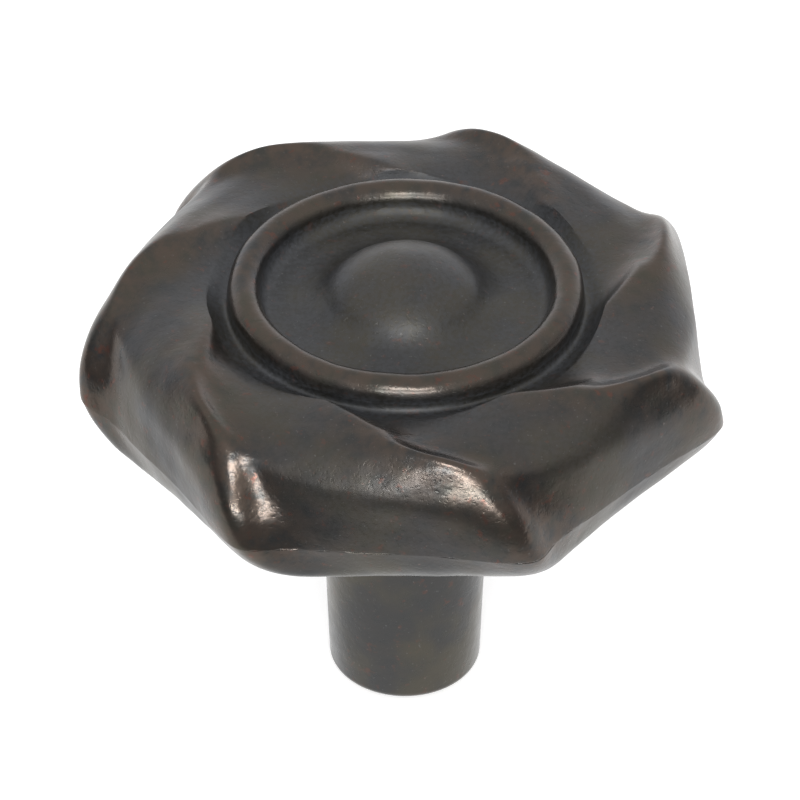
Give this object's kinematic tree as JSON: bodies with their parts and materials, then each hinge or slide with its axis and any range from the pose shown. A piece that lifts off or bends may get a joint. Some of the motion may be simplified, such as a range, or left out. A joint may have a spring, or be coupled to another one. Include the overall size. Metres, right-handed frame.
{
  "type": "cabinet knob",
  "caption": "Cabinet knob with swirling folds round a raised bead and a dished button, on a tapered post with a blind screw hole in its end.",
  "frame": {"origin": "centre of the flat end of the post, which lies against the door or drawer front", "axes": "+Z along the knob's axis, from the post's end to the top of the head; +X to the right in the picture's view, in which the viewer looks along +Y"},
  "size_m": [0.038, 0.0379, 0.0303],
  "materials": {
    "aged_bronze": "dark aged bronze over a casting, worn to a satin, with small pits"
  },
  "bodies": {
    "root": {"knob": "aged_bronze"}
  },
  "joints": []
}
